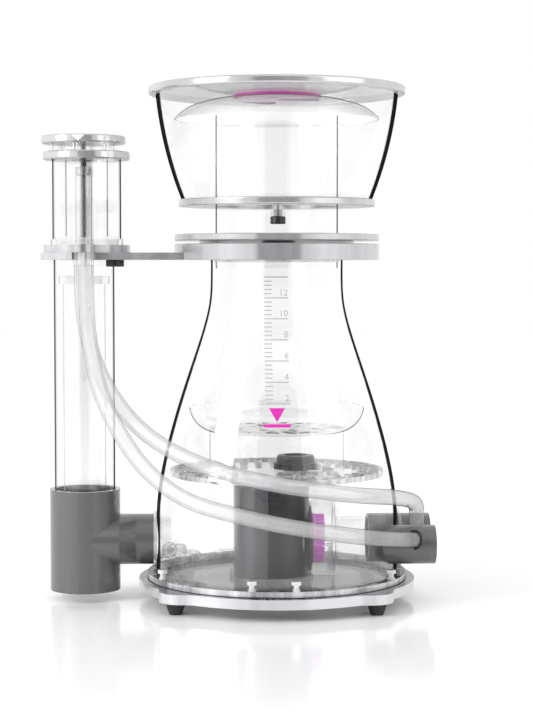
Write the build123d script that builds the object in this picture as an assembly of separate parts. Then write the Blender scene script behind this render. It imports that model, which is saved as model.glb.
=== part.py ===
from build123d import *
import math
import os

os.makedirs("parts", exist_ok=True)

# Protein skimmer for a marine aquarium. Millimetres, +Z up. The origin is the centre of the
# base plate's underside, on the axis of the bottle-shaped body. The overflow tower stands at -X,
# the pump intake leaves at +X and the air hoses pass the front at -Y.

# ---------------------------------------------------------------- driving dimensions
# general fits
MOVE_GAP = 0.3             # between pieces on different moving bodies
SHAFT_GAP = 0.05           # radial, for a shaft or plug that runs in its hole
WALL = 3.0                 # acrylic tube and shell wall

# base
BASE_LAND = 8.5            # base plate outside the body flange
BASE_T = 9.5
EAR_R = 22.0
EAR_INSET = 10.0
EAR_BLEND_R = 24.0
EAR_START = 42.0           # degrees, first ear
FOOT_H = 11.5
FOOT_TOP_R = 10.0
FOOT_BOTTOM_R = 6.2
FOOT_INSET = 2.0
FOOT_STUD_R = 3.0
FLANGE_T = 6.0
FLANGE_LAND = 9.0          # flange width outside the body
THUMB_ANGLES = (256.5, 275.7, 205.0, 330.0, 162.0, 20.0, 60.0, 105.0)
THUMB_HEAD_R = 4.8
THUMB_HEAD_T = 3.5
THUMB_NECK_R = 2.7
THUMB_STAND = 6.0          # neck showing above the flange
THUMB_INSET = 3.9          # screw axis inside the flange edge
THUMB_COLLAR_W = 1.2
THUMB_COLLAR_H = 2.0
KEY_SLOT_ANGLES = (223.0, 309.0)
KEY_SLOT_ARC = 15.0        # degrees between the ends' centres
KEY_SLOT_W = 4.2

# body bottle, outer radii and the heights above the base plate
BODY_R = 120.5
BODY_STRAIGHT_H = 57.0
SHOULDER_INSET = 10.0
SHOULDER_H = 129.0
WAIST_R = 85.8
WAIST_H = 211.0
THROAT_FLARE = 2.2
THROAT_H = 271.0
NECK_R = 65.7
NECK_H = 317.2             # top of the straight neck under the bracket

# plates round the neck
PLATE_LAND = 36.3          # plates outside the body's neck
PLATE_EDGE = 0.8
BRACKET_T = 7.0
NECK_FLANGE_T = 8.8
LOCK_RING_LAND = 11.3
LOCK_RING_T = 2.4
CUP_FLANGE_T = 6.5

# collection cup
CUP_NECK_GAP = 1.7         # cup neck inside the body's neck
CUP_NECK_DROP = 24.0       # neck reaches this far down into the body's neck
CUP_PLATE_RISE = 27.5      # cup flange top to cup plate underside
CUP_PLATE_T = 7.0
CUP_PLATE_LAND = 3.0       # cup plate outside the bowl's foot
CUP_PLATE_EDGE = 1.2
CUP_TROUGH_W = 33.8        # cup neck to the bowl's foot
CUP_MID_FLARE = 16.5
CUP_RIM_FLARE = 25.4
CUP_H = 103.0
CUP_NECK_BELOW_RIM = 20.0
ORING_H = 3.0
ORING_RISE = 6.0           # above the neck's lower end
DRAIN_FROM_NECK = 18.0
DRAIN_ANGLE = 268.0
NOZZLE_R = 6.6
NOZZLE_H = 11.5
NOZZLE_BORE_R = 4.5
CAP_R = 7.3
CAP_T = 7.0
CAP_EDGE = 1.0
CAP_PLUG_H = 7.0

# lid
LID_OVERHANG = 7.3
LID_T = 8.0
LID_EDGE = 2.4
DOME_INSET = 18.2          # inside the bowl's rim
DOME_DEPTH = 21.0
DOME_FLAT_R = 44.0
DOME_WALL = 2.2
SPACER_T = 3.0
SPACER_W = 4.0

# pump, all on one axis along X
PUMP_AXIS_Z = 47.5
MOTOR_LEFT_X = -43.0
MOTOR_RIGHT_X = 32.0
MOTOR_DEPTH = 90.0
MOTOR_BOTTOM_Z = 13.5
MOTOR_TOP_Z = 103.5
MOTOR_CORNER_R = 34.0
MOTOR_TOP_EDGE = 3.0
WELL_R = 19.0
WELL_WALL = 1.5
WELL_LENGTH = 56.0
MAGNET_R = 16.5
MAGNET_LENGTH = 46.0
STATOR_R = 33.0
STATOR_LENGTH = 44.0
STATOR_INSET = 6.0
SHAFT_R = 2.5
FACE_PLATE_R = 33.5
FACE_PLATE_T = 2.0
WHEEL_R = 25.0
WHEEL_DISC_T = 3.0
WHEEL_PIN_L = 9.5
WHEEL_PIN_R = 0.9
WHEEL_HUB_R = 6.0
WHEEL_GAP = 1.0            # face plate to needle wheel
WHEEL_PIN_RINGS = ((0.42, 8), (0.58, 11), (0.74, 14), (0.92, 18))   # share of radius, pins
SHAFT_END_GAP = 0.5
BEARING_T = 3.0
REAR_BEARING_R = 5.0
REAR_BEARING_T = 5.0
VOLUTE_R = 37.5
VOLUTE_WALL = 2.5
VOLUTE_LENGTH = 26.0
OUTLET_TUBE_R = 13.0
DUCT_W = 36.0
DUCT_LEFT_X = 2.0
DUCT_H = 8.0
DUCT_WALL = 2.0
INTAKE_TUBE_R = 21.5
INTAKE_INSIDE = 29.5       # grey pipe inside the body's outer wall
INTAKE_OUTSIDE = 32.5
INTAKE_PIPE_R = 24.5
INTAKE_BORE_R = 21.0
INTAKE_LAP = 10.0
MANIFOLD_R = 19.0
MANIFOLD_Y = -48.0
MANIFOLD_INSIDE = 24.5     # start, before the body's round is cut away
MANIFOLD_BORE_R = 4.0
MANIFOLD_END_WALL = 8.0
BRIDGE_OUTSIDE = 3.5
BRIDGE_TOP_Z = 63.0
BRIDGE_DROP = 12.0         # below the pump axis, and short of the body's middle plane
HOSE_SOCKET = 20.0
BUSH_R = 31.0
BUSH_T = 3.0
LEAD_R = 2.7
LEAD_EXIT_Y = 8.0
LEAD_EXIT_Z = 33.0
LEAD_EXIT_RUN = 14.0
LEAD_BEND = (-75.0, 20.0, 22.0)
LEAD_END_RUN = 17.0
GLAND_ANGLE = 150.0
GLAND_Z = 26.0
GLAND_R = 8.5
GLAND_STEM_R = 6.0
GLAND_INNER_R = 7.5
GLAND_INSIDE = 9.0         # length inside the wall
GLAND_OUTSIDE = 10.0       # length outside the body
GLAND_NUT_L = 7.0
GLAND_SEAL = 1.5           # between the wall and the inner nut
GLAND_BORE_R = 3.2
PEDESTAL_STEP = 4.0
PEDESTAL_W = 16.0

# bubble plate, baffle and dish
BUBBLE_PLATE_GAP = 0.5
BUBBLE_PLATE_T = 5.0
BUBBLE_PLATE_Z = 112.5
BUBBLE_HOLE_R = 4.0
BUBBLE_HOLE_RINGS = ((9.0, 40), (20.0, 36), (53.7, 20))             # in from the edge, holes
NUT_X = 19.0
NUT_R = 22.0
NUT_RIB_H = 6.0
NUT_TOP_R = 19.0
NUT_H = 14.0
NUT_BORE_R = 12.0
NUT_RIBS = 24
NUT_GROOVE_R = 1.3
NUT_EDGE = 3.0
BAFFLE_R = 67.3
BAFFLE_H = 38.5
BAFFLE_WALL = 2.5
DISH_R = 87.6
DISH_DEPTH = 24.2
DISH_WALL = 2.5
DISH_HOLE_R = 3.6
DISH_HOLE_RINGS = ((20.2, 8), (35.0, 14), (49.8, 20))               # pitch radius, holes

# overflow tower
TOWER_REACH = 71.2         # body's outer wall to the tower's axis
TEE_WALL = 5.0
TEE_BOTTOM_Z = -2.1
TEE_H = 100.6
TEE_SOCKET = 30.0
BRANCH_R = 25.2
BRANCH_ROOT_INSET = 0.6    # oval root of the branch, short of the tee's side
BRANCH_TAPER = 16.0        # oval to round
OUTLET_PIPE_R = 21.5
OUTLET_TUBE_INSIDE = 14.0  # outlet tube past the body wall
RISER_R = 30.0
STANDPIPE_GAP = 6.0        # riser wall to standpipe
STANDPIPE_BOTTOM_Z = 11.0
STANDPIPE_TOP_DROP = 23.7  # below the bracket
COLLAR_LAND = 4.2
COLLAR_H = 7.6
SOCKET_FLOOR_Z = 23.0      # top of the tee's bottom gland wall
BRACKET_LAND = 13.0        # bracket outside the riser

# silencer on the tower
SILENCER_SHIFT_X = 3.0
RING_R = 43.0
RING_T = 7.6
RING_EDGE = 1.2
FOOT_RING_R = 35.7
FOOT_RING_T = 6.0
SILENCER_R = 34.0
SILENCER_H = 78.0
INNER_TUBE_R = 21.0
INNER_TUBE_H = 75.0
TOP_RING_T = 8.0
TOP_HOLE_R = 12.0
POST_R = 3.5
POST_PITCH_R = 31.0
POST_START = 18.0          # degrees, first post
POST_H = 7.6
KNOB_R = 41.7
KNOB_T = 7.5
HUB_R = 9.0
SPINDLE_R = 3.0
SPINDLE_L = 96.0
LIFT_TUBE_R = 8.0
LIFT_TUBE_L = 100.0
LIFT_TUBE_BORE_R = 5.5
LIFT_TUBE_GAP = 1.5
SPINDLE_NUT_R = 8.5
SPINDLE_NUT_H = 8.0
COLLAR_BAR_W = 5.0
COLLAR_BAR_LAP = 1.0
PORT_R = 8.0
PORT_BORE_R = 4.0
PORT_LAND = 4.0            # silencer base round each port
PORT_SLOT_GAP = 1.0
PORT_DROP = 12.0           # ports end this far under the bracket's top face
CLAMP_ANGLE = -38.26       # clamp screw round the tower's axis
CLAMP_GAP = 1.37
CLAMP_R = 9.0
CLAMP_H = 6.8
CLAMP_EDGE = 1.2
CLAMP_STEM_R = 3.0

# hoses
HOSE_R = 7.5
UPPER_HOSE = [
    (-192.0, -38.2, 321.7), (-192.0, -38.2, 281.0), (-184.0, -40.5, 239.0),
    (-167.0, -47.0, 200.0), (-140.0, -61.0, 166.0), (-106.0, -86.0, 144.0),
    (-66.0, -110.0, 129.0), (-18.0, -126.0, 118.0), (32.0, -125.0, 110.0),
    (76.0, -108.0, 103.0), (105.0, -84.0, 99.0), (126.0, -57.0, 93.0),
    (135.5, -40.5, 87.0), (138.0, -27.5, 77.0), (138.0, -27.5, 63.0),
]
LOWER_HOSE = [
    (-187.0, -53.8, 321.7), (-187.0, -53.8, 281.0), (-183.0, -58.5, 241.0),
    (-175.0, -65.0, 203.0), (-158.0, -73.5, 165.0), (-130.0, -86.0, 125.0),
    (-92.0, -106.0, 98.5), (-48.0, -125.5, 88.0), (0.0, -136.0, 78.5),
    (46.0, -130.0, 70.5), (85.0, -110.0, 63.0), (111.0, -84.0, 57.5),
    (134.0, -62.0, 54.0),
]

# ---------------------------------------------------------------- levels worked out from the above
BASE_TOP = BASE_T
FLANGE_R = BODY_R + FLANGE_LAND
BASE_R = FLANGE_R + BASE_LAND
EAR_PITCH_R = BASE_R - EAR_INSET
FOOT_PITCH_R = BASE_R - FOOT_INSET
SHOULDER_R = BODY_R - SHOULDER_INSET
THROAT_R = NECK_R + THROAT_FLARE
PLATE_R = NECK_R + PLATE_LAND
LOCK_RING_R = NECK_R + LOCK_RING_LAND
FLANGE_TOP = BASE_TOP + FLANGE_T
BRACKET_Z = BASE_TOP + NECK_H
NECK_FLANGE_Z = BRACKET_Z + BRACKET_T
NECK_FLANGE_TOP = NECK_FLANGE_Z + NECK_FLANGE_T
LOCK_RING_Z = NECK_FLANGE_TOP + MOVE_GAP
CUP_FLANGE_Z = LOCK_RING_Z + LOCK_RING_T + MOVE_GAP
CUP_FLANGE_TOP = CUP_FLANGE_Z + CUP_FLANGE_T
CUP_NECK_BOTTOM = NECK_FLANGE_TOP - CUP_NECK_DROP
CUP_PLATE_Z = CUP_FLANGE_TOP + CUP_PLATE_RISE
CUP_PLATE_TOP = CUP_PLATE_Z + CUP_PLATE_T
CUP_RIM_Z = CUP_PLATE_TOP + CUP_H
CUP_NECK_TOP = CUP_RIM_Z - CUP_NECK_BELOW_RIM
LID_Z = CUP_RIM_Z + MOVE_GAP
BODY_INNER_NECK_R = NECK_R - WALL
CUP_NECK_R = BODY_INNER_NECK_R - CUP_NECK_GAP
CUP_FOOT_R = CUP_NECK_R + CUP_TROUGH_W
CUP_MID_R = CUP_FOOT_R + CUP_MID_FLARE
CUP_RIM_R = CUP_FOOT_R + CUP_RIM_FLARE
CUP_PLATE_R = CUP_FOOT_R + CUP_PLATE_LAND
LID_R = CUP_RIM_R + LID_OVERHANG
DOME_R = CUP_RIM_R - DOME_INSET
INTAKE_JOIN_X = BODY_R - INTAKE_INSIDE
INTAKE_END_X = BODY_R + INTAKE_OUTSIDE
MANIFOLD_LEFT_X = BODY_R - MANIFOLD_INSIDE
BRIDGE_LEFT_X = BODY_R + BRIDGE_OUTSIDE
BUBBLE_PLATE_R = SHOULDER_R - WALL - BUBBLE_PLATE_GAP
ORING_R = BODY_INNER_NECK_R - MOVE_GAP
FACE_PLATE_X = MOTOR_RIGHT_X
VOLUTE_X = FACE_PLATE_X + FACE_PLATE_T
VOLUTE_END_X = VOLUTE_X + VOLUTE_LENGTH
OUTLET_X = VOLUTE_X + VOLUTE_LENGTH / 2
WELL_LEFT_X = MOTOR_RIGHT_X - WELL_LENGTH
WHEEL_FACE_X = VOLUTE_X + WHEEL_GAP + WHEEL_DISC_T
SHAFT_END_X = WHEEL_FACE_X + SHAFT_END_GAP
DUCT_Z = BUBBLE_PLATE_Z - DUCT_H
BUBBLE_PLATE_TOP = BUBBLE_PLATE_Z + BUBBLE_PLATE_T
DISH_Z = BUBBLE_PLATE_TOP + BAFFLE_H
TOWER_X = -BODY_R - TOWER_REACH
TEE_R = RISER_R + TEE_WALL
TEE_TOP = TEE_BOTTOM_Z + TEE_H
BRACKET_HALF_W = RISER_R + BRACKET_LAND
STANDPIPE_R = RISER_R - WALL - STANDPIPE_GAP
STANDPIPE_TOP_Z = BRACKET_Z - STANDPIPE_TOP_DROP
COLLAR_R = STANDPIPE_R + COLLAR_LAND
SILENCER_X = TOWER_X + SILENCER_SHIFT_X
RING_Z = NECK_FLANGE_Z
FOOT_RING_Z = RING_Z + RING_T
SILENCER_Z = FOOT_RING_Z + FOOT_RING_T
TOP_RING_Z = SILENCER_Z + SILENCER_H
TOP_RING_TOP = TOP_RING_Z + TOP_RING_T
KNOB_Z = TOP_RING_TOP + POST_H + MOVE_GAP
LIFT_TUBE_Z = STANDPIPE_TOP_Z + COLLAR_H
NUT_LEVEL = LIFT_TUBE_Z + LIFT_TUBE_L
PORT_BOTTOM_Z = RING_Z - PORT_DROP


# ---------------------------------------------------------------- small shape helpers
def save(node, shape):
    export_step(shape, "parts/" + node + ".step")


def disc(radius, low, high, x=0.0, y=0.0):
    return Pos(x, y, low) * extrude(Circle(radius), high - low)


def tube(outer, inner, low, high, x=0.0, y=0.0):
    return Pos(x, y, low) * extrude(Circle(outer) - Circle(inner), high - low)


def bar_x(radius, left, right, y, z):
    return Pos(left, y, z) * Rot(0, 90, 0) * extrude(Circle(radius), right - left)


def tube_x(outer, inner, left, right, y, z):
    return Pos(left, y, z) * Rot(0, 90, 0) * extrude(Circle(outer) - Circle(inner), right - left)


def block(x0, x1, y0, y1, z0, z1):
    return Pos((x0 + x1) / 2, (y0 + y1) / 2, (z0 + z1) / 2) * Box(x1 - x0, y1 - y0, z1 - z0)


def round_disc(radius, low, high, edge, x=0.0, y=0.0):
    solid = disc(radius, low, high, x, y)
    return fillet(solid.edges().filter_by(GeomType.CIRCLE), edge)


def on_circle(radius, angle):
    turn = math.radians(angle)
    return radius * math.cos(turn), radius * math.sin(turn)


def group(solids):
    return Compound(children=list(solids))


def lathe(*edges):
    """Solid of revolution about Z from a closed chain of edges in the XZ plane."""
    return revolve(make_face(Curve() + list(edges)), Axis.Z)


def hose_path(points):
    """Straight runs joined by tangent arcs, each as large as its two runs allow."""
    corners = [Vector(*p) for p in points]
    radii = []
    for before, here, after in zip(corners, corners[1:], corners[2:]):
        turn = math.radians((here - before).get_angle(after - here))
        shorter = min((here - before).length, (after - here).length)
        radii.append(0.45 * shorter / math.tan(turn / 2))
    return FilletPolyline(*corners, radius=radii), radii


def hose(name, points, radius):
    path, radii = hose_path(points)
    start = Plane(origin=path @ 0, z_dir=path % 0)
    solid = sweep(start * Circle(radius), path=path)
    ideal = math.pi * radius ** 2 * path.length
    print(name, "length", round(path.length, 1), "radii", [round(r) for r in radii],
          "volume ratio", round(solid.volume / ideal, 4))
    return solid


# ---------------------------------------------------------------- base
def make_base_plate():
    outline = Circle(BASE_R)
    for i in range(4):
        x, y = on_circle(EAR_PITCH_R, EAR_START + 90 * i)
        outline += Pos(x, y) * Circle(EAR_R)
    outline = fillet(outline.vertices(), EAR_BLEND_R)
    plate = extrude(outline, BASE_T)
    for x, y in foot_places():
        plate -= disc(FOOT_STUD_R, 0, BASE_T / 2, x, y)
    return plate


def foot_places():
    return [on_circle(FOOT_PITCH_R, EAR_START + 90 * i) for i in range(4)]


def make_feet():
    feet = []
    for x, y in foot_places():
        foot = Pos(x, y, -FOOT_H / 2) * Cone(FOOT_BOTTOM_R, FOOT_TOP_R, FOOT_H)
        foot += disc(FOOT_STUD_R, 0, BASE_T / 2, x, y)
        feet.append(foot)
    return group(feet)


def thumb_places():
    return [on_circle(FLANGE_R - THUMB_INSET, angle) for angle in THUMB_ANGLES]


def make_body_flange():
    ring = tube(FLANGE_R, BODY_R, BASE_TOP, FLANGE_TOP)
    for x, y in thumb_places():
        ring -= disc(THUMB_NECK_R, BASE_TOP, FLANGE_TOP, x, y)
    for angle in KEY_SLOT_ANGLES:
        line = CenterArc((0, 0), FLANGE_R - THUMB_INSET, angle - KEY_SLOT_ARC / 2, KEY_SLOT_ARC)
        ring -= Pos(0, 0, BASE_TOP) * extrude(SlotArc(line, KEY_SLOT_W), FLANGE_T)
    return ring


def make_thumb_screws():
    screws = []
    for x, y in thumb_places():
        head_z = FLANGE_TOP + THUMB_STAND
        screw = disc(THUMB_NECK_R, BASE_TOP, head_z, x, y)
        screw += disc(THUMB_NECK_R + THUMB_COLLAR_W, FLANGE_TOP, FLANGE_TOP + THUMB_COLLAR_H, x, y)
        screw += disc(THUMB_HEAD_R, head_z, head_z + THUMB_HEAD_T, x, y)
        screws.append(screw)
    return group(screws)


# ---------------------------------------------------------------- body
def bottle_edge(inset):
    """Half outline of the bottle from its foot to the start of the straight neck."""
    foot = (BODY_R - inset, 0, BASE_TOP + BODY_STRAIGHT_H)
    shoulder = (SHOULDER_R - inset, 0, BASE_TOP + SHOULDER_H)
    waist = (WAIST_R - inset, 0, BASE_TOP + WAIST_H)
    throat = (THROAT_R - inset, 0, BASE_TOP + THROAT_H)
    neck = (NECK_R - inset, 0, BRACKET_Z)
    return Spline(foot, shoulder, waist, throat, neck, tangents=[(0, 0, 1), (0, 0, 1)])


def side_pipe_cutters():
    return [
        bar_x(OUTLET_PIPE_R, -BODY_R - BUSH_R, -BODY_R / 2, 0, PUMP_AXIS_Z),
        bar_x(INTAKE_PIPE_R, BODY_R / 2, BODY_R + BUSH_R, 0, PUMP_AXIS_Z),
        gland_bar(GLAND_STEM_R, BODY_R - WALL - GLAND_INSIDE, BODY_R + GLAND_OUTSIDE),
    ]


def make_body_shell():
    top = NECK_FLANGE_TOP
    outer = bottle_edge(0)
    inner = bottle_edge(WALL)
    foot_out, foot_in = (BODY_R, 0, BASE_TOP), (BODY_R - WALL, 0, BASE_TOP)
    neck_out, neck_in = (NECK_R, 0, top), (NECK_R - WALL, 0, top)
    shell = lathe(Line(foot_out, outer @ 0), outer, Line(outer @ 1, neck_out), Line(neck_out, neck_in),
                  Line(neck_in, inner @ 1), inner, Line(inner @ 0, foot_in), Line(foot_in, foot_out))
    for cutter in side_pipe_cutters():
        shell -= cutter
    return shell


def make_neck_flange():
    ring = tube(PLATE_R, NECK_R, NECK_FLANGE_Z, NECK_FLANGE_TOP)
    rims = ring.edges().filter_by(GeomType.CIRCLE).filter_by(lambda e: e.radius > NECK_R + 1)
    return chamfer(rims.group_by(Axis.Z)[-1], PLATE_EDGE)


def make_bracket():
    outline = Circle(PLATE_R) + Pos(TOWER_X / 2, 0) * Rectangle(-TOWER_X, 2 * BRACKET_HALF_W)
    outline += Pos(TOWER_X, 0) * Circle(BRACKET_HALF_W)
    outline -= Circle(NECK_R)
    outline -= Pos(TOWER_X, 0) * Circle(RISER_R)
    slot_r = PORT_R + PORT_SLOT_GAP
    slot_x, slot_y = UPPER_HOSE[0][0], UPPER_HOSE[0][1]
    outline -= Pos(slot_x, slot_y) * Circle(slot_r)
    outline -= Pos(slot_x, slot_y - PLATE_R / 2) * Rectangle(2 * slot_r, PLATE_R)
    outline -= Pos(LOWER_HOSE[0][0], LOWER_HOSE[0][1]) * Circle(slot_r)
    outline -= Pos(*clamp_place()) * Circle(CLAMP_STEM_R)
    return Pos(0, 0, BRACKET_Z) * extrude(outline, BRACKET_T)


def make_bubble_plate():
    outline = Circle(BUBBLE_PLATE_R)
    for inset, count in BUBBLE_HOLE_RINGS:
        outline -= PolarLocations(BUBBLE_PLATE_R - inset, count) * Circle(BUBBLE_HOLE_R)
    outline -= Pos(NUT_X, 0) * Circle(NUT_BORE_R)
    return Pos(0, 0, BUBBLE_PLATE_Z) * extrude(outline, BUBBLE_PLATE_T)


def make_baffle():
    return tube(BAFFLE_R, BAFFLE_R - BAFFLE_WALL, BUBBLE_PLATE_TOP, DISH_Z)


def make_dish():
    rim_z = DISH_Z + DISH_DEPTH
    mid_r = BAFFLE_R + 0.62 * (DISH_R - BAFFLE_R)
    mid_z = DISH_Z + 0.3 * DISH_DEPTH
    outer = ThreePointArc((BAFFLE_R, 0, DISH_Z), (mid_r, 0, mid_z), (DISH_R, 0, rim_z))
    inner = ThreePointArc((BAFFLE_R - 1, 0, DISH_Z + DISH_WALL),
                          (mid_r - DISH_WALL * 0.75, 0, mid_z + DISH_WALL * 0.75),
                          (DISH_R - DISH_WALL, 0, rim_z))
    dish = lathe(Line((0, 0, DISH_Z), outer @ 0), outer, Line(outer @ 1, inner @ 1), inner,
                 Line(inner @ 0, (0, 0, DISH_Z + DISH_WALL)),
                 Line((0, 0, DISH_Z + DISH_WALL), (0, 0, DISH_Z)))
    holes = Sketch()
    for radius, count in DISH_HOLE_RINGS:
        holes += PolarLocations(radius, count) * Circle(DISH_HOLE_R)
    return dish - Pos(0, 0, DISH_Z - 1) * extrude(holes, DISH_WALL + 2)


def make_union_nut():
    low = BUBBLE_PLATE_TOP
    rib_top = low + NUT_RIB_H
    nut = disc(NUT_R, low, rib_top, NUT_X)
    grooves = Sketch() + PolarLocations(NUT_R, NUT_RIBS) * Circle(NUT_GROOVE_R)
    nut -= Pos(NUT_X, 0, low - 1) * extrude(grooves, NUT_RIB_H + 2)
    cap = disc(NUT_TOP_R, rib_top, low + NUT_H, NUT_X)
    nut += fillet(cap.edges().group_by(Axis.Z)[-1], NUT_EDGE)
    return nut - disc(NUT_BORE_R, low - 1, low + NUT_H + 1, NUT_X)


# ---------------------------------------------------------------- pump
def motor_outline(inset):
    width = MOTOR_RIGHT_X - MOTOR_LEFT_X - 2 * inset
    return RectangleRounded(width, MOTOR_DEPTH - 2 * inset, MOTOR_CORNER_R - inset)


def make_motor_housing():
    middle = (MOTOR_LEFT_X + MOTOR_RIGHT_X) / 2
    housing = Pos(middle, 0, MOTOR_BOTTOM_Z) * extrude(motor_outline(0), MOTOR_TOP_Z - MOTOR_BOTTOM_Z)
    housing = fillet(housing.edges().group_by(Axis.Z)[-1], MOTOR_TOP_EDGE)
    housing -= bar_x(WELL_R, WELL_LEFT_X, MOTOR_RIGHT_X + 1, 0, PUMP_AXIS_Z)
    housing -= stator_tube(STATOR_R, WELL_R)
    return housing


def stator_tube(outer, inner):
    right = MOTOR_RIGHT_X - STATOR_INSET
    return tube_x(outer, inner, right - STATOR_LENGTH, right, 0, PUMP_AXIS_Z)


def make_rotor_well():
    return (bar_x(WELL_R, WELL_LEFT_X, MOTOR_RIGHT_X, 0, PUMP_AXIS_Z)
            - bar_x(WELL_R - WELL_WALL, WELL_LEFT_X + WELL_WALL, MOTOR_RIGHT_X + 1, 0, PUMP_AXIS_Z))


def make_bearings():
    left = WELL_LEFT_X + WELL_WALL
    bore = SHAFT_R + SHAFT_GAP
    rear = tube_x(REAR_BEARING_R, bore, left, left + REAR_BEARING_T, 0, PUMP_AXIS_Z)
    front = tube_x(WELL_R - WELL_WALL, bore, MOTOR_RIGHT_X - BEARING_T, MOTOR_RIGHT_X, 0, PUMP_AXIS_Z)
    return group([rear, front])


def make_face_plate():
    right = FACE_PLATE_X + FACE_PLATE_T
    return tube_x(FACE_PLATE_R, SHAFT_R + MOVE_GAP, FACE_PLATE_X, right, 0, PUMP_AXIS_Z)


def make_shaft():
    return bar_x(SHAFT_R, WELL_LEFT_X + WELL_WALL + MOVE_GAP, SHAFT_END_X, 0, PUMP_AXIS_Z)


def make_magnet():
    right = MOTOR_RIGHT_X - BEARING_T - MOVE_GAP
    return tube_x(MAGNET_R, SHAFT_R, right - MAGNET_LENGTH, right, 0, PUMP_AXIS_Z)


def make_needle_wheel():
    left, face = VOLUTE_X + WHEEL_GAP, WHEEL_FACE_X
    wheel = tube_x(WHEEL_R, SHAFT_R, left, face, 0, PUMP_AXIS_Z)
    wheel += bar_x(WHEEL_HUB_R, face, face + WHEEL_PIN_L, 0, PUMP_AXIS_Z)
    wheel -= bar_x(SHAFT_R, left - 1, SHAFT_END_X, 0, PUMP_AXIS_Z)
    pins = Sketch()
    for share, count in WHEEL_PIN_RINGS:
        pins += PolarLocations(share * WHEEL_R, count) * Circle(WHEEL_PIN_R)
    wheel += Pos(face, 0, PUMP_AXIS_Z) * Rot(0, 90, 0) * extrude(pins, WHEEL_PIN_L)
    return wheel


def make_volute():
    shell = bar_x(VOLUTE_R, VOLUTE_X, VOLUTE_END_X, 0, PUMP_AXIS_Z)
    top = DUCT_Z
    shell += disc(OUTLET_TUBE_R, PUMP_AXIS_Z, top, OUTLET_X)
    shell -= bar_x(VOLUTE_R - VOLUTE_WALL, VOLUTE_X - 1, VOLUTE_END_X - VOLUTE_WALL, 0, PUMP_AXIS_Z)
    shell -= disc(OUTLET_TUBE_R - DUCT_WALL, PUMP_AXIS_Z, top + 1, OUTLET_X)
    shell -= bar_x(INTAKE_TUBE_R - WALL, VOLUTE_END_X - 5, VOLUTE_END_X + 1, 0, PUMP_AXIS_Z)
    return shell


def make_duct():
    right = OUTLET_X + OUTLET_TUBE_R + 2
    half = DUCT_W / 2
    low, high = DUCT_Z, BUBBLE_PLATE_Z
    duct = block(DUCT_LEFT_X, right, -half, half, low, high)
    duct -= block(DUCT_LEFT_X + DUCT_WALL, right - DUCT_WALL, -half + DUCT_WALL, half - DUCT_WALL,
                  low + DUCT_WALL, high - DUCT_WALL)
    duct -= disc(OUTLET_TUBE_R - DUCT_WALL, low - 1, low + DUCT_WALL + 1, OUTLET_X)
    return duct - disc(NUT_BORE_R, high - DUCT_WALL - 1, high + 1, NUT_X)


def make_pedestal():
    middle = (MOTOR_LEFT_X + MOTOR_RIGHT_X) / 2
    foot = extrude(motor_outline(-PEDESTAL_STEP), MOTOR_BOTTOM_Z - BASE_TOP)
    cut = extrude(motor_outline(PEDESTAL_W - PEDESTAL_STEP), MOTOR_BOTTOM_Z - BASE_TOP)
    foot = Pos(middle, 0, BASE_TOP) * (foot - cut)
    return foot - bar_x(VOLUTE_R + MOVE_GAP, VOLUTE_X, VOLUTE_END_X, 0, PUMP_AXIS_Z)


def make_intake_tube():
    right = INTAKE_JOIN_X + INTAKE_LAP
    return tube_x(INTAKE_TUBE_R, INTAKE_TUBE_R - WALL, VOLUTE_END_X, right, 0, PUMP_AXIS_Z)


def make_intake_pipe():
    pipe = tube_x(INTAKE_PIPE_R, INTAKE_BORE_R, INTAKE_JOIN_X, INTAKE_END_X, 0, PUMP_AXIS_Z)
    return pipe - bar_x(INTAKE_TUBE_R, INTAKE_JOIN_X - 1, INTAKE_JOIN_X + INTAKE_LAP, 0, PUMP_AXIS_Z)


def make_manifold():
    body = bar_x(MANIFOLD_R, MANIFOLD_LEFT_X, INTAKE_END_X, MANIFOLD_Y, PUMP_AXIS_Z)
    body += block(BRIDGE_LEFT_X, INTAKE_END_X, MANIFOLD_Y, -BRIDGE_DROP,
                  PUMP_AXIS_Z - BRIDGE_DROP, BRIDGE_TOP_Z)
    body -= bar_x(INTAKE_PIPE_R, MANIFOLD_LEFT_X, INTAKE_END_X + 1, 0, PUMP_AXIS_Z)
    body -= disc(BODY_R, 0, 2 * BRIDGE_TOP_Z)
    end, before = Vector(*LOWER_HOSE[-1]), Vector(*LOWER_HOSE[-2])
    along = (end - before).normalized()
    pocket = Plane(origin=end, z_dir=-along) * extrude(Circle(HOSE_R + MOVE_GAP), HOSE_SOCKET)
    right = INTAKE_END_X - MANIFOLD_END_WALL
    air_way = bar_x(MANIFOLD_BORE_R, BRIDGE_LEFT_X, right, MANIFOLD_Y, PUMP_AXIS_Z)
    return body - pocket - air_way


def make_bushings():
    z = PUMP_AXIS_Z
    right = tube_x(BUSH_R, INTAKE_PIPE_R, BODY_R, BODY_R + BUSH_T, 0, z)
    right -= bar_x(MANIFOLD_R, MANIFOLD_LEFT_X, INTAKE_END_X, MANIFOLD_Y, z)
    left = tube_x(BRANCH_R + 2, OUTLET_PIPE_R, -BODY_R - BUSH_T, -BODY_R, 0, z)
    return group([left, right])


def gland_bar(radius, near, far):
    x, y = on_circle(near, GLAND_ANGLE)
    out = Plane(origin=(x, y, GLAND_Z), z_dir=(x, y, 0))
    return out * extrude(Circle(radius), far - near)


def make_gland():
    inner_end, outer_end = BODY_R - WALL - GLAND_INSIDE, BODY_R + GLAND_OUTSIDE
    stem = gland_bar(GLAND_STEM_R, inner_end, outer_end)
    nut = gland_bar(GLAND_R, BODY_R + 1, BODY_R + 1 + GLAND_NUT_L)
    inside = gland_bar(GLAND_INNER_R, inner_end, BODY_R - WALL - GLAND_SEAL)
    return stem + nut + inside - gland_bar(GLAND_BORE_R, BODY_R + 1, outer_end + 1)


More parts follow.
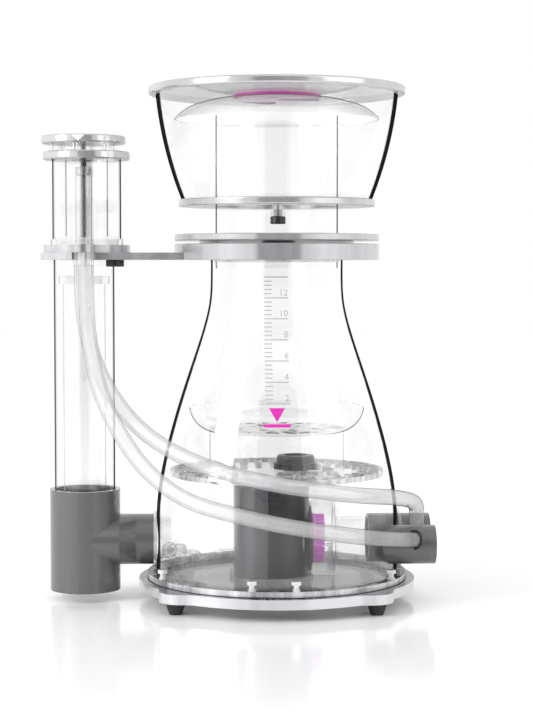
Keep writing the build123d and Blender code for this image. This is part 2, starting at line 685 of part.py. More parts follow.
def make_motor_lead():
    gland_end = BODY_R - WALL - GLAND_INSIDE
    end = on_circle(gland_end, GLAND_ANGLE)
    back = on_circle(gland_end - LEAD_END_RUN, GLAND_ANGLE)
    points = [(MOTOR_LEFT_X, LEAD_EXIT_Y, LEAD_EXIT_Z),
              (MOTOR_LEFT_X - LEAD_EXIT_RUN, LEAD_EXIT_Y, LEAD_EXIT_Z), LEAD_BEND,
              (*back, GLAND_Z), (*end, GLAND_Z)]
    return hose("motor_lead", points, LEAD_R)


# ---------------------------------------------------------------- cup and lid
def make_lock_ring():
    return tube(LOCK_RING_R, ORING_R + MOVE_GAP, LOCK_RING_Z, LOCK_RING_Z + LOCK_RING_T)


def make_cup_flange():
    ring = tube(PLATE_R, CUP_NECK_R, CUP_FLANGE_Z, CUP_FLANGE_TOP)
    rims = ring.edges().filter_by(GeomType.CIRCLE).filter_by(lambda e: e.radius > CUP_NECK_R + 1)
    return chamfer(rims, PLATE_EDGE)


def make_cup_neck():
    return tube(CUP_NECK_R, CUP_NECK_R - WALL, CUP_NECK_BOTTOM, CUP_NECK_TOP)


def make_neck_oring():
    low = CUP_NECK_BOTTOM + ORING_RISE
    return tube(ORING_R, CUP_NECK_R, low, low + ORING_H)


def drain_place():
    return on_circle(CUP_NECK_R + DRAIN_FROM_NECK, DRAIN_ANGLE)


def make_cup_plate():
    plate = tube(CUP_PLATE_R, CUP_NECK_R, CUP_PLATE_Z, CUP_PLATE_TOP)
    x, y = drain_place()
    plate -= disc(NOZZLE_BORE_R, CUP_PLATE_Z - 1, CUP_PLATE_TOP + 1, x, y)
    rims = plate.edges().filter_by(GeomType.CIRCLE).filter_by(lambda e: e.radius > CUP_PLATE_R - 1)
    return fillet(rims, CUP_PLATE_EDGE)


def make_cup_bowl():
    middle = CUP_PLATE_TOP + CUP_H / 2
    outer = ThreePointArc((CUP_FOOT_R, 0, CUP_PLATE_TOP), (CUP_MID_R, 0, middle), (CUP_RIM_R, 0, CUP_RIM_Z))
    inner = ThreePointArc((CUP_FOOT_R - WALL, 0, CUP_PLATE_TOP), (CUP_MID_R - WALL, 0, middle),
                          (CUP_RIM_R - WALL, 0, CUP_RIM_Z))
    return lathe(outer, Line(outer @ 1, inner @ 1), inner, Line(inner @ 0, outer @ 0))


def make_nozzle():
    x, y = drain_place()
    return tube(NOZZLE_R, NOZZLE_BORE_R, CUP_PLATE_Z - NOZZLE_H, CUP_PLATE_Z, x, y)


def make_drain_cap():
    x, y = drain_place()
    top = CUP_PLATE_Z - NOZZLE_H - MOVE_GAP
    cap = round_disc(CAP_R, top - CAP_T, top, CAP_EDGE, x, y)
    return cap + disc(NOZZLE_BORE_R - SHAFT_GAP, top, top + CAP_PLUG_H, x, y)


def make_lid():
    return round_disc(LID_R, LID_Z, LID_Z + LID_T, LID_EDGE)


def dome_edge(inset):
    top = LID_Z - SPACER_T - inset
    rim_z = LID_Z - SPACER_T - DOME_DEPTH
    rise = DOME_DEPTH
    span = DOME_R - DOME_FLAT_R
    rim = (DOME_R - inset, 0, rim_z)
    lower = (DOME_FLAT_R + 0.85 * span - inset, 0, rim_z + 0.40 * rise - inset / 2)
    upper = (DOME_FLAT_R + 0.62 * span - inset, 0, rim_z + 0.71 * rise - inset)
    flat = (DOME_FLAT_R, 0, top)
    return Spline(rim, lower, upper, flat, tangents=[(-0.55, 0, 1), (-1, 0, 0)], tangent_scalars=[0.6, 1.0])


def make_dome():
    outer, inner = dome_edge(0), dome_edge(DOME_WALL)
    top_out, top_in = (0, 0, (outer @ 1).Z), (0, 0, (inner @ 1).Z)
    return lathe(outer, Line(outer @ 1, top_out), Line(top_out, top_in), Line(top_in, inner @ 1),
                 inner, Line(inner @ 0, outer @ 0))


def make_spacer():
    return tube(DOME_FLAT_R, DOME_FLAT_R - SPACER_W, LID_Z - SPACER_T, LID_Z)


# ---------------------------------------------------------------- tower
def branch_plane(x):
    return Plane(origin=(x, 0, PUMP_AXIS_Z), x_dir=(0, 1, 0), z_dir=(1, 0, 0))


def branch_root():
    """Root of the side branch: an oval nearly as wide as the tee, drawn down to a circle."""
    oval = Ellipse(TEE_R - BRANCH_ROOT_INSET, BRANCH_R)
    side = TOWER_X + TEE_R
    straight = extrude(branch_plane(TOWER_X) * oval, TEE_R)
    return straight + loft([branch_plane(side) * oval, branch_plane(side + BRANCH_TAPER) * Circle(BRANCH_R)])


def make_tee():
    tee = disc(TEE_R, TEE_BOTTOM_Z, TEE_TOP, TOWER_X) + branch_root()
    tee += bar_x(BRANCH_R, TOWER_X, -BODY_R - BUSH_T, 0, PUMP_AXIS_Z)
    socket_floor = TEE_TOP - TEE_SOCKET
    tee -= disc(RISER_R, socket_floor, TEE_TOP + 1, TOWER_X)
    tee -= disc(RISER_R - WALL, SOCKET_FLOOR_Z, socket_floor + 1, TOWER_X)
    tee -= disc(STANDPIPE_R + MOVE_GAP, TEE_BOTTOM_Z - 1, SOCKET_FLOOR_Z + 1, TOWER_X)
    tee -= bar_x(OUTLET_PIPE_R, TOWER_X, -BODY_R, 0, PUMP_AXIS_Z)
    return tee


def make_outlet_tube():
    right = -BODY_R + OUTLET_TUBE_INSIDE
    return tube_x(OUTLET_PIPE_R, OUTLET_PIPE_R - WALL, TOWER_X + TEE_R, right, 0, PUMP_AXIS_Z)


def make_riser():
    return tube(RISER_R, RISER_R - WALL, TEE_TOP - TEE_SOCKET, RING_Z, TOWER_X)


def make_standpipe():
    return tube(STANDPIPE_R, STANDPIPE_R - WALL, STANDPIPE_BOTTOM_Z, STANDPIPE_TOP_Z, TOWER_X)


def make_collar():
    """Collar on the standpipe, with two cross bars that carry the lift tube."""
    ring = tube(COLLAR_R, STANDPIPE_R - WALL, STANDPIPE_TOP_Z, LIFT_TUBE_Z, TOWER_X)
    bar = 2 * (STANDPIPE_R - WALL + COLLAR_BAR_LAP)
    middle = Pos(TOWER_X, 0, STANDPIPE_TOP_Z + COLLAR_H / 2)
    return ring + middle * Box(bar, COLLAR_BAR_W, COLLAR_H) + middle * Box(COLLAR_BAR_W, bar, COLLAR_H)


def make_lift_tube():
    return tube(LIFT_TUBE_R, LIFT_TUBE_BORE_R, LIFT_TUBE_Z, NUT_LEVEL, TOWER_X)


def make_spindle_nut():
    return tube(SPINDLE_NUT_R, SPINDLE_R + SHAFT_GAP, NUT_LEVEL, NUT_LEVEL + SPINDLE_NUT_H, TOWER_X)


def port_places():
    return [(p[0][0], p[0][1]) for p in (UPPER_HOSE, LOWER_HOSE)]


def make_silencer_base():
    lobe_x = (UPPER_HOSE[0][0] + LOWER_HOSE[0][0]) / 2
    outline = Pos(SILENCER_X, 0) * Circle(RING_R)
    front = LOWER_HOSE[0][1]
    outline += Pos(lobe_x, front / 2) * Rectangle(2 * (PORT_R + PORT_LAND), -front)
    outline += Pos(lobe_x, front) * Circle(PORT_R + PORT_LAND)
    outline -= Pos(TOWER_X, 0) * Circle(LIFT_TUBE_R + LIFT_TUBE_GAP)
    for x, y in port_places():
        outline -= Pos(x, y) * Circle(PORT_BORE_R)
    return Pos(0, 0, RING_Z) * extrude(outline, RING_T)


def make_silencer_foot():
    outline = Pos(SILENCER_X, 0) * (Circle(FOOT_RING_R) - Circle(SILENCER_R - WALL))
    return Pos(0, 0, FOOT_RING_Z) * extrude(outline, FOOT_RING_T)


def make_silencer_tube():
    return tube(SILENCER_R, SILENCER_R - WALL, SILENCER_Z, TOP_RING_Z, SILENCER_X)


def make_silencer_inner():
    low = TOP_RING_Z - INNER_TUBE_H
    return tube(INNER_TUBE_R, INNER_TUBE_R - WALL, low, TOP_RING_Z, SILENCER_X)


def make_silencer_top():
    outline = Pos(SILENCER_X, 0) * Circle(RING_R) - Pos(TOWER_X, 0) * Circle(TOP_HOLE_R)
    return Pos(0, 0, TOP_RING_Z) * chamfer_rim(extrude(outline, TOP_RING_T), RING_R)


def chamfer_rim(solid, radius):
    rims = solid.edges().filter_by(GeomType.CIRCLE).filter_by(lambda e: e.radius > radius - 1)
    return chamfer(rims, RING_EDGE)


def make_posts():
    top = TOP_RING_TOP + POST_H
    places = [on_circle(POST_PITCH_R, POST_START + 60 * i) for i in range(6)]
    return group([disc(POST_R, TOP_RING_TOP, top, TOWER_X + x, y) for x, y in places])


def make_ports():
    ports = []
    for x, y in port_places():
        ports.append(tube(PORT_R, PORT_BORE_R, PORT_BOTTOM_Z, RING_Z, x, y))
    return group(ports)


def clamp_place():
    x, y = on_circle(RISER_R + CLAMP_GAP + CLAMP_R, CLAMP_ANGLE)
    return TOWER_X + x, y


def make_clamp_screw():
    x, y = clamp_place()
    knob = round_disc(CLAMP_R, BRACKET_Z - CLAMP_H, BRACKET_Z, CLAMP_EDGE, x, y)
    return knob + disc(CLAMP_STEM_R, BRACKET_Z, BRACKET_Z + BRACKET_T, x, y)


def make_knob():
    knob = chamfer_rim(disc(KNOB_R, KNOB_Z, KNOB_Z + KNOB_T, TOWER_X), KNOB_R)
    return knob - disc(SPINDLE_R, KNOB_Z - 1, KNOB_Z + KNOB_T / 2, TOWER_X)


def make_hub():
    low = TOP_RING_TOP + MOVE_GAP
    return tube(HUB_R, SPINDLE_R, low, KNOB_Z, TOWER_X)


def make_spindle():
    top = KNOB_Z + KNOB_T / 2
    return disc(SPINDLE_R, top - SPINDLE_L, top, TOWER_X)


# ---------------------------------------------------------------- write every piece
MAKERS = {
    "base_plate": make_base_plate, "rubber_feet": make_feet, "body_flange": make_body_flange,
    "thumb_screws": make_thumb_screws, "body_shell": make_body_shell, "neck_flange": make_neck_flange,
    "riser_bracket": make_bracket, "bubble_plate": make_bubble_plate, "baffle_tube": make_baffle,
    "bubble_dish": make_dish, "union_nut": make_union_nut, "discharge_duct": make_duct,
    "motor_housing": make_motor_housing, "rotor_well": make_rotor_well,
    "stator_core": lambda: stator_tube(STATOR_R, WELL_R), "rotor_bearings": make_bearings,
    "motor_face_plate": make_face_plate, "pump_pedestal": make_pedestal, "volute": make_volute,
    "intake_tube": make_intake_tube, "intake_pipe": make_intake_pipe, "air_manifold": make_manifold,
    "wall_bushings": make_bushings, "cable_gland": make_gland, "motor_lead": make_motor_lead,
    "needle_wheel": make_needle_wheel, "rotor_shaft": make_shaft, "rotor_magnet": make_magnet,
    "lock_ring": make_lock_ring, "cup_flange": make_cup_flange, "cup_neck": make_cup_neck,
    "neck_oring": make_neck_oring, "cup_plate": make_cup_plate, "cup_bowl": make_cup_bowl,
    "drain_nozzle": make_nozzle, "drain_cap": make_drain_cap, "lid": make_lid,
    "deflector_dome": make_dome, "lid_spacer": make_spacer, "tee": make_tee,
    "outlet_tube": make_outlet_tube, "riser_tube": make_riser, "standpipe": make_standpipe,
    "standpipe_collar": make_collar, "lift_tube": make_lift_tube, "spindle_nut": make_spindle_nut,
    "silencer_base": make_silencer_base, "silencer_foot": make_silencer_foot,
    "silencer_tube": make_silencer_tube, "silencer_inner_tube": make_silencer_inner,
    "silencer_top": make_silencer_top, "silencer_posts": make_posts, "air_ports": make_ports,
    "clamp_screw": make_clamp_screw, "knob_disc": make_knob, "knob_hub": make_hub,
    "knob_spindle": make_spindle,
}

for node, maker in MAKERS.items():
    save(node, maker())
save("air_hose_upper", hose("air_hose_upper", UPPER_HOSE, HOSE_R))
save("air_hose_lower", hose("air_hose_lower", LOWER_HOSE, HOSE_R))
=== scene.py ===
import math

import bmesh
import bpy
from bpy.props import FloatProperty, FloatVectorProperty, PointerProperty
from mathutils import Matrix, Vector
from mathutils.bvhtree import BVHTree


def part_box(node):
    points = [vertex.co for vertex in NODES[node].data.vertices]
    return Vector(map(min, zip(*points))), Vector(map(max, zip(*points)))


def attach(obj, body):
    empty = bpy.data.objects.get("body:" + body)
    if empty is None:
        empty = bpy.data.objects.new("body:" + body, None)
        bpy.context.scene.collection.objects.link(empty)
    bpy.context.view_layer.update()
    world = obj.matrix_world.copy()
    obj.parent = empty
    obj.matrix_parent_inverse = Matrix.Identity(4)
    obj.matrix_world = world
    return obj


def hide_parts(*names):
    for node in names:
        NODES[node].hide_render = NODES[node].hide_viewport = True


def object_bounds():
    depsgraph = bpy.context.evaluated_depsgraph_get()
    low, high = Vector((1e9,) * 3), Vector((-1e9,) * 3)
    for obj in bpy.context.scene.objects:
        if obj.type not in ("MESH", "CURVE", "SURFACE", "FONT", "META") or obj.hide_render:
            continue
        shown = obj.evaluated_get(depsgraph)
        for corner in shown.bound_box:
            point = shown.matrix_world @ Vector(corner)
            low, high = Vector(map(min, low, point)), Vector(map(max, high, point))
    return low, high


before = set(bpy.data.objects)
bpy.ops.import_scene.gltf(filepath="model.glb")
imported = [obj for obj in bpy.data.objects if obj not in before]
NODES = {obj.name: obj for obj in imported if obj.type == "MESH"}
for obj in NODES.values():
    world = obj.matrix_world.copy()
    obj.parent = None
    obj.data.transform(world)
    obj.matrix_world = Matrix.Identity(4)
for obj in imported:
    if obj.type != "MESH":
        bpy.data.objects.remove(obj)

bl_info = {
    "name": "Protein Skimmer",
    "version": (1, 0, 0),
    "blender": (4, 5, 0),
    "location": "3D View > Sidebar > Skimmer",
    "description": "Finishes, detail pieces, hoses and studio for a protein skimmer",
    "category": "Object",
}

MM = 0.001
INK = 0.2 * MM             # thickness of a printed mark
CAD_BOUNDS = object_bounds()

# Hose routes, the same points as the frame's, in metres.
UPPER_ROUTE = [
    (-0.1920, -0.0382, 0.3217), (-0.1920, -0.0382, 0.2810), (-0.1840, -0.0405, 0.2390),
    (-0.1670, -0.0470, 0.2000), (-0.1400, -0.0610, 0.1660), (-0.1060, -0.0860, 0.1440),
    (-0.0660, -0.1100, 0.1290), (-0.0180, -0.1260, 0.1180), (0.0320, -0.1250, 0.1100),
    (0.0760, -0.1080, 0.1030), (0.1050, -0.0840, 0.0990), (0.1260, -0.0570, 0.0930),
    (0.1355, -0.0405, 0.0870), (0.1380, -0.0275, 0.0770), (0.1380, -0.0275, 0.0630),
]
LOWER_ROUTE = [
    (-0.1870, -0.0538, 0.3217), (-0.1870, -0.0538, 0.2810), (-0.1830, -0.0585, 0.2410),
    (-0.1750, -0.0650, 0.2030), (-0.1580, -0.0735, 0.1650), (-0.1300, -0.0860, 0.1250),
    (-0.0920, -0.1060, 0.0985), (-0.0480, -0.1255, 0.0880), (0.0000, -0.1360, 0.0785),
    (0.0460, -0.1300, 0.0705), (0.0850, -0.1100, 0.0630), (0.1110, -0.0840, 0.0575),
    (0.1340, -0.0620, 0.0540),
]


def rgb(red, green, blue):
    return (red, green, blue, 1.0)


def cool_grey(tone):
    return rgb(tone, tone, tone * 1.02)


def shaded(colour, share):
    """The same hue, darker or paler."""
    return tuple(part * share for part in colour[:3]) + (1.0,)


def middle(node):
    """Centre of a node's box."""
    low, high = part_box(node)
    return (Vector(low) + Vector(high)) / 2


TOWER = middle("riser_tube")
SILENCER = middle("silencer_tube")


class BODY:
    """Places on the body, from the frame's boxes."""

    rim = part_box("body_shell")[1][0]


class MOTOR:
    """Places on the pump, from the frame's boxes."""

    low, high = (Vector(corner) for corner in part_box("motor_housing"))
    # where the painted lit half meets the painted shaded half, at the housing's seam
    seam = low.x + 0.43 * (high.x - low.x)


# ------------------------------------------------------------------ shader maths
class Value:
    """A shader socket that takes part in ordinary arithmetic."""

    def __init__(self, finish, socket):
        self.finish = finish
        self.socket = socket

    def math(self, operation, *terms):
        sockets = dict(enumerate(terms))
        return self.finish.node("ShaderNodeMath", {"operation": operation}, sockets)

    def __add__(self, other):
        return self.math("ADD", self, other)

    def __radd__(self, other):
        return self.math("ADD", other, self)

    def __sub__(self, other):
        return self.math("SUBTRACT", self, other)

    def __rsub__(self, other):
        return self.math("SUBTRACT", other, self)

    def __mul__(self, other):
        return self.math("MULTIPLY", self, other)

    def __rmul__(self, other):
        return self.math("MULTIPLY", other, self)

    def __pow__(self, other):
        return self.math("POWER", self, other)

    def __abs__(self):
        return self.math("ABSOLUTE", self)

    def above(self, limit):
        return self.math("GREATER_THAN", self, limit)

    def clamped(self, low=0.0, high=1.0):
        return self.math("MINIMUM", self.math("MAXIMUM", self, low), high)


class Finish:
    """One material and its nodes."""

    def __init__(self, name):
        self.material = bpy.data.materials.new(name)
        self.material.use_nodes = True
        self.tree = self.material.node_tree
        self.tree.nodes.clear()

    def node(self, kind, settings=None, sockets=None, output=0):
        made = self.tree.nodes.new(kind)
        for key, setting in (settings or {}).items():
            setattr(made, key, setting)
        for key, value in (sockets or {}).items():
            if isinstance(value, Value):
                self.tree.links.new(value.socket, made.inputs[key])
            else:
                made.inputs[key].default_value = value
        return Value(self, made.outputs[output])

    def finished(self, surface):
        made = self.tree.nodes.new("ShaderNodeOutputMaterial")
        self.tree.links.new(surface.socket, made.inputs["Surface"])
        return self.material

    def facing(self):
        """0 where the surface faces the eye, 1 at its outline."""
        return self.node("ShaderNodeLayerWeight", sockets={"Blend": 0.5}, output="Facing")

    def place(self):
        return self.node("ShaderNodeTexCoord", output="Object")

    def noise(self, scale, detail=2.0, roughness=0.5):
        sockets = {"Vector": self.place(), "Scale": scale, "Detail": detail, "Roughness": roughness}
        return self.node("ShaderNodeTexNoise", sockets=sockets, output="Fac")

    def split(self, vector, axis):
        return self.node("ShaderNodeSeparateXYZ", sockets={"Vector": vector}, output=axis)

    def bump(self, height, strength, distance):
        sockets = {"Height": height, "Strength": strength, "Distance": distance}
        return self.node("ShaderNodeBump", sockets=sockets, output="Normal")

    def mix_colour(self, factor, first, second):
        sockets = {0: factor, 6: first, 7: second}
        return self.node("ShaderNodeMix", {"data_type": "RGBA"}, sockets, output=2)

    def solid(self, **sockets):
        named = {key.replace("_", " "): value for key, value in sockets.items()}
        return self.node("ShaderNodeBsdfPrincipled", sockets=named)

    def blend(self, factor, first, second):
        return self.node("ShaderNodeMixShader", sockets={0: factor, 1: first, 2: second})

    def clear(self, colour):
        return self.node("ShaderNodeBsdfTransparent", sockets={"Color": colour})

    def front(self):
        """1 where the outside of the surface is seen, 0 where its back is."""
        return 1 - self.node("ShaderNodeNewGeometry", output="Backfacing")

    def outer_side(self, axis):
        """1 on faces turned away from an upright axis, 0 on faces turned towards it."""
        place = self.place()
        normal = self.node("ShaderNodeTexCoord", output="Normal")
        across = self.split(normal, "X") * (self.split(place, "X") - axis[0])
        along = self.split(normal, "Y") * (self.split(place, "Y") - axis[1])
        return (across + along).above(0.0)

    def rays(self, scale):
        """Noise that changes only with the angle round the body's axis."""
        flat = self.node("ShaderNodeMapping", sockets={"Vector": self.place(), "Scale": (1, 1, 0)})
        unit = self.node("ShaderNodeVectorMath", {"operation": "NORMALIZE"}, {0: flat})
        sockets = {"Vector": unit, "Scale": scale, "Detail": 2.0}
        return self.node("ShaderNodeTexNoise", sockets=sockets, output="Fac")

    def spread(self):
        """Distance from the body's axis."""
        flat = self.node("ShaderNodeMapping", sockets={"Vector": self.place(), "Scale": (1, 1, 0)})
        return self.node("ShaderNodeVectorMath", {"operation": "LENGTH"}, {0: flat}, output="Value")

    def streaks(self, scale, squeeze=0.02):
        """Noise drawn out along the height: painted light and dark bands that stand in for the reflections on
        a polished edge.
        """
        sized = self.node("ShaderNodeMapping", sockets={"Vector": self.place(), "Scale": (1, 1, squeeze)})
        sockets = {"Vector": sized, "Scale": scale, "Detail": 4.0, "Roughness": 0.6}
        return self.node("ShaderNodeTexNoise", sockets=sockets, output="Fac")


def ramp(value, start, end):
    """0 below start, 1 above end, straight between them."""
    return ((value - start) * (1 / (end - start))).clamped()


def clear_acrylic(name, painted_outline_start, tone, axis=(0.0, 0.0), gloss=0.04, width=0.05, strength=1.0,
                  inner=0.55, fill=0.0):
    """Polished acrylic wall round an upright axis: clear face on, with painted dark outlines where the eye
    looks along it, a dark matt shader mixed in there for the darkness a thick clear wall shows.
    """
    finish = Finish(name)
    facing = finish.facing()
    mirror = finish.solid(Base_Color=rgb(1, 1, 1), Metallic=1.0, Roughness=0.02)
    glass = finish.blend((facing ** 4.0 * 0.3 + gloss).clamped(), finish.clear(rgb(1, 1, 1)), mirror)
    # edge: a dark matt shader, painted shade for the wall's outline
    edge = finish.solid(Base_Color=rgb(tone, tone, tone * 1.03), Roughness=0.6, Specular_IOR_Level=0.0)
    # painted shade: mix of the dark outline near the silhouette and a fainter grey band just inside it, on
    # the near outer side only
    painted_shade_weight = (ramp(facing, painted_outline_start, painted_outline_start + width) * strength + ramp(facing, inner, painted_outline_start) * fill).clamped()
    return finish.finished(finish.blend(painted_shade_weight * finish.outer_side(axis) * finish.front(), glass, edge))


def plain_acrylic(name, gloss, haze, haze_tone, painted_outline_start=0.75, tone=0.2):
    """Small clear moulding: bright, with painted dark outlines on every side, a dark matt shader mixed in
    where the eye looks along it.
    """
    finish = Finish(name)
    facing = finish.facing()
    mirror = finish.solid(Base_Color=rgb(1, 1, 1), Metallic=1.0, Roughness=0.08)
    glass = finish.blend((facing ** 3.0 * 0.4 + gloss).clamped(), finish.clear(rgb(1, 1, 1)), mirror)
    cloud = finish.solid(Base_Color=rgb(haze_tone, haze_tone, haze_tone), Roughness=0.25)
    body = finish.blend((finish.noise(60.0) * haze * 2).clamped(), glass, cloud)
    # edge: a dark matt shader, painted shade for the outlines
    edge = finish.solid(Base_Color=rgb(tone, tone, tone), Roughness=0.5, Specular_IOR_Level=0.0)
    return finish.finished(finish.blend(ramp(facing, painted_outline_start, 1.0) * finish.front(), body, edge))


def plate_acrylic(name, cover, face_tone, dark, light, band_scale=30.0, painted_ray_share=0.0, rim=0.0):
    """Thick sheet: clear through its flat faces, and on its polished edge a painted satin grey with painted
    light and dark bands that stand in for the reflections and refractions seen there.
    """
    finish = Finish(name)
    normal = finish.node("ShaderNodeTexCoord", output="Normal")
    is_face = ramp(abs(finish.split(normal, "Z")), 0.6, 0.9)
    # painted reflection: the edge faces get a painted grey with light and dark bands drawn out along the
    # height
    painted_band_mask = ramp(finish.streaks(band_scale), 0.35, 0.68)
    painted_edge_tone = finish.mix_colour(painted_band_mask, cool_grey(dark), cool_grey(light))
    satin = finish.solid(Base_Color=painted_edge_tone, Roughness=0.3, IOR=1.49, Coat_Weight=0.3)
    mirror = finish.solid(Base_Color=rgb(0.86, 0.86, 0.88), Metallic=1.0, Roughness=0.16)
    edge = finish.blend(0.38, satin, mirror)
    cloud = ramp(finish.noise(9.0, 3.0), 0.3, 0.75)
    low = face_tone * 0.6
    flat_tone = finish.mix_colour(cloud, cool_grey(face_tone), cool_grey(low))
    # painted reflection: dark spokes round the axis on the flat faces, standing in for the dark reflections
    # and refractions a clear sheet shows at a grazing view
    if painted_ray_share:
        rays = ramp(finish.rays(26.0), 0.42, 0.58)
        flat_tone = finish.mix_colour(rays * painted_ray_share, flat_tone, rgb(0.015, 0.015, 0.017))
    flat = finish.solid(Base_Color=flat_tone, Roughness=0.06, IOR=1.49)
    facing = finish.facing()
    hidden = (facing ** 3.0 * 0.25 + cover).clamped()
    # painted reflection: outside the body's rim the top turns near-black with fine grey spokes, and more
    # opaque, for the dark reflections and refractions seen there
    if rim:
        outside = finish.spread().above(rim)
        painted_fine_rays = ramp(finish.rays(60.0), 0.45, 0.55)
        shade = finish.mix_colour(painted_fine_rays, rgb(0.01, 0.01, 0.012), rgb(0.2, 0.2, 0.21))
        painted_dark_rim = finish.solid(Base_Color=shade, Roughness=0.12)
        flat = finish.blend(outside, flat, painted_dark_rim)
        hidden = (hidden + outside * 0.35).clamped()
    sheet = finish.blend(hidden, finish.clear(rgb(1, 1, 1)), flat)
    return finish.finished(finish.blend(is_face, edge, sheet))


def moulding(name, colour, roughness, grain=0.02, coat=0.0):
    """Opaque moulded plastic or rubber with a fine grain and faint handling marks."""
    finish = Finish(name)
    normal = finish.bump(finish.noise(900.0, 2.0), 0.25, grain * MM)
    wear = finish.noise(14.0, 3.0)
    rough = (wear * 0.16 + (roughness - 0.08)).clamped(0.02, 1.0)
    paler = tuple(min(1.0, part * 1.4) for part in colour[:3]) + (1.0,)
    tone = finish.mix_colour(wear, colour, paler)
    surface = finish.solid(Base_Color=tone, Roughness=rough, Normal=normal, Coat_Weight=coat,
                           Coat_Roughness=0.12)
    return finish.finished(surface)


def silicone(name, cover, tone, painted_outline_start):
    """Milky hose wall: lets light through, with painted grey shade round its sides, a faint painted dark band
    where the bore's edge would show, and a painted thin dark outline.
    """
    finish = Finish(name)
    facing = finish.facing()
    cloud = finish.noise(30.0, 2.0)
    milk = finish.solid(Base_Color=rgb(tone, tone, tone * 1.01), Roughness=0.1, IOR=1.41, Coat_Weight=0.8,
                        Coat_Roughness=0.04)
    # painted shade: a faint dark band standing in for the bore's edge seen through the wall
    bore = ramp(facing, 0.18, 0.26) * (1 - ramp(facing, 0.26, 0.5))
    body = finish.blend((cloud * 0.2 + (cover - 0.1)).clamped(), finish.clear(rgb(1, 1, 1)), milk)
    # shade: a dark matt shader, painted shade for the sides, the bore band and the outline
    shade = finish.solid(Base_Color=rgb(0.05, 0.05, 0.05), Roughness=0.5, Specular_IOR_Level=0.0)
    painted_shade_weight = facing ** 2.0 * 0.30 + bore * 0.12 + ramp(facing, painted_outline_start, painted_outline_start + 0.1) * 0.55
    return finish.finished(finish.blend(painted_shade_weight.clamped(), body, shade))


def two_tone(name, paler, darker, roughness, seam):
    """Moulded housing with a painted lit half and a painted shaded half, paler and darker, that meet at a
    fine seam across the pump's axis.
    """
    finish = Finish(name)
    along = finish.split(finish.place(), "X")
    side = ramp(along, seam - 0.0004, seam + 0.0004)
    wear = finish.noise(14.0, 3.0)
    # painted light and shade: the paler half for the lit side, the darker half for the shaded side
    tone = finish.mix_colour(side, paler, darker)
    groove = 1 - ramp(abs(along - seam), 0.0002, 0.0008)
    grain = finish.noise(500.0, 2.0) * 0.04 - groove
    normal = finish.bump(grain, 0.5, 0.4 * MM)
    rough = (wear * 0.16 + (roughness - 0.08)).clamped()
    surface = finish.solid(Base_Color=tone, Roughness=rough, Normal=normal, Coat_Weight=0.25,
                           Coat_Roughness=0.2)
    return finish.finished(surface)


def metal(name, colour, roughness):
    finish = Finish(name)
    rough = finish.noise(300.0) * 0.1 + roughness
    return finish.finished(finish.solid(Base_Color=colour, Metallic=1.0, Roughness=rough))


# ------------------------------------------------------------------ mesh helpers
def to_object(mesh_data, name, material, body, sharp_angle=35.0):
    """Turns a finished bmesh into a smooth-shaded object that rides on a body."""
    mesh = bpy.data.meshes.new(name)
    mesh_data.to_mesh(mesh)
    mesh_data.free()
    mesh.shade_smooth()
    mesh.set_sharp_from_angle(angle=math.radians(sharp_angle))
    made = bpy.data.objects.new(name, mesh)
    bpy.context.scene.collection.objects.link(made)
    made.data.materials.append(material)
    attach(made, body)
    return made


def lathe(mesh_data, profile, centre=(0.0, 0.0), steps=128):
    """Spins a closed profile of (radius, height) points about a vertical axis."""
    x, y = centre
    points = [mesh_data.verts.new((x + r, y, z)) for r, z in profile]
    edges = [mesh_data.edges.new((a, b)) for a, b in zip(points, points[1:] + points[:1])]
    bmesh.ops.spin(mesh_data, geom=points + edges, cent=(x, y, 0), axis=(0, 0, 1),
                   angle=2 * math.pi, steps=steps, use_merge=True)
    bmesh.ops.remove_doubles(mesh_data, verts=mesh_data.verts, dist=1e-6)
    bmesh.ops.recalc_face_normals(mesh_data, faces=mesh_data.faces)


def finish_node(name, material):
    """Gives a frame node its finish."""
    node = NODES[name]
    node.data.materials.clear()
    node.data.materials.append(material)
    return node


def finish_nodes(names, material):
    for name in names:
        finish_node(name, material)


def props():
    return bpy.context.scene.skimmer


# ------------------------------------------------------------------ settings
class SkimmerSettings(bpy.types.PropertyGroup):
    pvc_grey: FloatVectorProperty(
        name="PVC", description="Colour of the grey pipe fittings", subtype="COLOR",
        size=4, default=(0.085, 0.085, 0.088, 1.0), min=0, max=1)
    motor_grey: FloatVectorProperty(
        name="Motor", description="Colour of the pump's mouldings", subtype="COLOR",
        size=4, default=(0.045, 0.045, 0.048, 1.0), min=0, max=1)
    magenta: FloatVectorProperty(
        name="Accent", description="Colour of the lid ring and the level mark", subtype="COLOR",
        size=4, default=(0.50, 0.012, 0.30, 1.0), min=0, max=1)
    wheel: FloatVectorProperty(
        name="Wheel", description="Colour of the needle wheel", subtype="COLOR",
        size=4, default=(0.70, 0.12, 0.66, 1.0), min=0, max=1)
    hose_diameter: FloatProperty(
        name="Hose", description="Outside diameter of the air hoses", default=0.015,
        min=0.008, max=0.02, unit="LENGTH")


class StageSettings(bpy.types.PropertyGroup):
    floor_size: FloatProperty(
        name="Floor", description="Width of the floor", default=14.0, min=2, max=40, unit="LENGTH")
    sky: FloatProperty(
        name="Sky", description="Brightness of the surrounding light", default=1.0, min=0, max=5)
    lens: FloatProperty(
        name="Lens", description="Focal length in millimetres", default=90.4, min=20, max=200)


